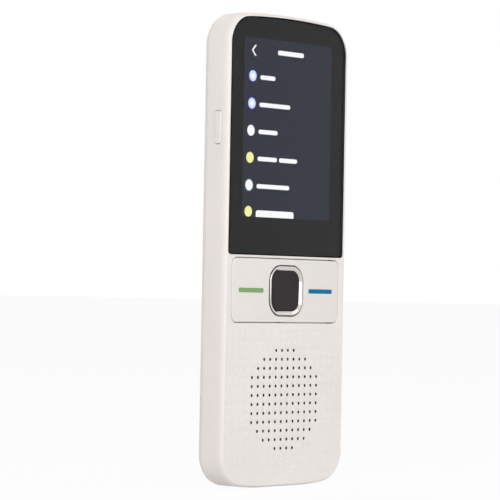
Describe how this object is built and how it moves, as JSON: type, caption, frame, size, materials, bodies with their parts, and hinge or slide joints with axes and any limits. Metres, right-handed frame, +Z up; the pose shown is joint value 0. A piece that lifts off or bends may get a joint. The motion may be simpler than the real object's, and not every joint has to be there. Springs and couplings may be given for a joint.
{
  "type": "handheld translator",
  "caption": "Slim candybar handheld translator: black display window over a rocking talk panel with a ringed centre key, and a round speaker grille below.",
  "frame": {"origin": "middle of the bottom end, on the surface it stands on", "axes": "+Z up the length, -Y out of the front face with the display, +X to the right as one looks at the front"},
  "size_m": [0.0509, 0.0102, 0.13],
  "materials": {
    "case_plastic": "fine satin, warm white with a trace of pink",
    "cover_glass": "black printed glass, polished",
    "green_print": "satin green",
    "blue_print": "satin blue",
    "key_chrome": "plated plastic, bright",
    "key_plastic": "dark, low gloss",
    "module_glass": "dark glass",
    "light_guide": "white",
    "sheet_steel": "bright sheet",
    "foam": "soft black",
    "flex": "amber film",
    "board": "green solder mask",
    "chip": "black",
    "paper_cone": "treated paper",
    "cell_foil": "laminated foil",
    "lead_wire": "insulated wire"
  },
  "bodies": {
    "case": {"front_housing": "case_plastic", "rear_cover": "case_plastic", "display_window": "cover_glass", "lcd_panel": "module_glass", "lcd_backlight": "light_guide", "lcd_tray": "sheet_steel", "key_frame": "sheet_steel", "processor_shield": "sheet_steel", "charge_socket_shell": "sheet_steel", "board_screws": "sheet_steel", "key_domes": "sheet_steel", "speaker_magnet": "sheet_steel", "speaker_mesh": "sheet_steel", "lcd_foam": "foam", "speaker_foam": "foam", "speaker_gasket": "foam", "microphone_boot": "foam", "window_adhesive": "foam", "battery_tape": "foam", "display_ribbon": "flex", "side_ribbon": "flex", "board_ribbon": "flex", "aerial": "flex", "main_board": "board", "charge_board": "board", "side_switch_board": "board", "battery_board": "board", "memory_chip": "chip", "wireless_module": "chip", "power_chip": "chip", "microphone": "chip", "side_switch": "chip", "display_connector": "chip", "side_connector": "chip", "ribbon_connector": "chip", "battery_connector": "chip", "charge_socket_tongue": "chip", "speaker_basket": "chip", "speaker_cone": "paper_cone", "battery_cell": "cell_foil", "battery_leads": "lead_wire"},
    "talk_panel": {"talk_rocker": "case_plastic", "green_mark": "green_print", "blue_mark": "blue_print"},
    "centre_key": {"key_ring": "key_chrome", "key_cap": "key_plastic"},
    "side_button": {"side_key": "case_plastic"}
  },
  "joints": [
    {"name": "talk_panel_rock", "type": "hinge", "parent": "case", "child": "talk_panel", "pos_m": [0, -0.0027, 0.0539], "axis": [0, 0, 1], "range_deg": [-1.2, 1.2], "stiffness_Nm_per_rad": 1},
    {"name": "centre_key_press", "type": "slide", "parent": "case", "child": "centre_key", "axis": [0, 1, 0], "range_m": [0, 0.00035], "stiffness_N_per_m": 3000, "springref_m": -0.0001},
    {"name": "side_key_press", "type": "slide", "parent": "case", "child": "side_button", "axis": [1, 0, 0], "range_m": [0, 0.0003], "stiffness_N_per_m": 3000, "springref_m": -0.0001}
  ]
}
